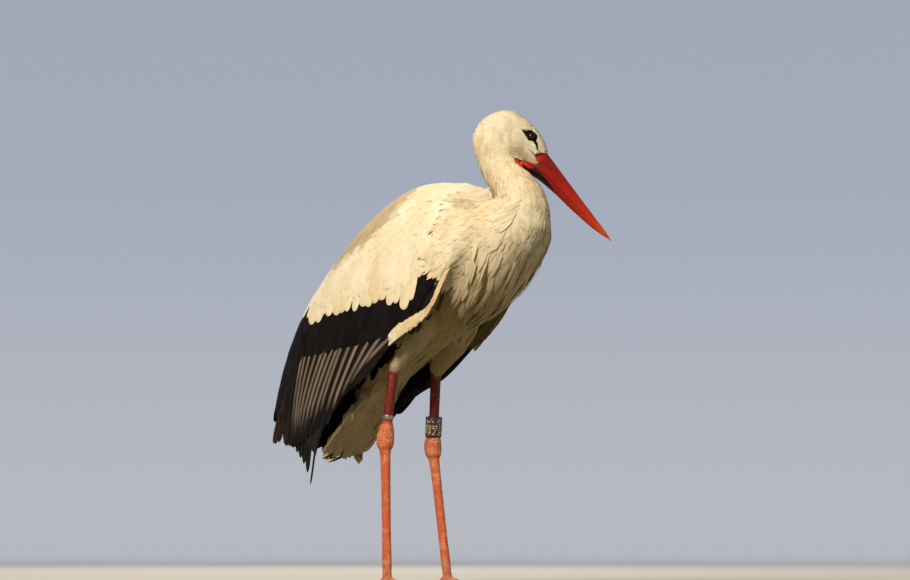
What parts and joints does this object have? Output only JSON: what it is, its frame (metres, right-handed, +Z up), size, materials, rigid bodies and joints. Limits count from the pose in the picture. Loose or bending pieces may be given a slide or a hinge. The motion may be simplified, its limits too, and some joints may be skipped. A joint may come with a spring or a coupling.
{
  "type": "white stork",
  "caption": "Adult white stork standing at rest on both feet with folded wings, head turned to its left and bill lowered, a metal ring and a code ring on its legs, as a still life-size figure.",
  "frame": {"origin": "on the floor, under the middle of the bird's bounding box", "axes": "+X the way the trunk faces, +Y the bird's left, +Z up"},
  "size_m": [0.629, 0.2438, 0.7555],
  "materials": {
    "plumage": "soft matt feathers, white washed with cream",
    "black_coverts": "satin black feathers",
    "flight_feathers": "satin black feathers with silver-grey outer webs",
    "bill": "satin red horn, orange at the tip",
    "leg": "scaled orange-red skin",
    "shank": "scaled dark red skin",
    "claw": "satin dark horn",
    "eye": "wet gloss",
    "metal_ring": "worn satin",
    "code_ring": "matt black with pale marks"
  },
  "bodies": {
    "root": {"ankle_left": "leg", "ankle_right": "leg", "bill_lower": "bill", "bill_upper": "bill", "claw_hind_left": "claw", "claw_hind_right": "claw", "claw_inner_left": "claw", "claw_inner_right": "claw", "claw_middle_left": "claw", "claw_middle_right": "claw", "claw_outer_left": "claw", "claw_outer_right": "claw", "eye_left": "eye", "eye_right": "eye", "flight_feathers_left": "flight_feathers", "flight_feathers_right": "flight_feathers", "foot_left": "leg", "foot_right": "leg", "greater_coverts_left": "black_coverts", "greater_coverts_right": "black_coverts", "head": "plumage", "neck_lower": "plumage", "neck_upper": "plumage", "ring_code_left": "code_ring", "ring_metal_right": "metal_ring", "shank_left": "shank", "shank_right": "shank", "tail": "plumage", "tarsus_left": "leg", "tarsus_right": "leg", "thigh_left": "plumage", "thigh_right": "plumage", "toe_hind_left": "leg", "toe_hind_right": "leg", "toe_inner_left": "leg", "toe_inner_right": "leg", "toe_middle_left": "leg", "toe_middle_right": "leg", "toe_outer_left": "leg", "toe_outer_right": "leg", "trunk": "plumage", "wing_left": "plumage", "wing_right": "plumage"}
  },
  "joints": []
}
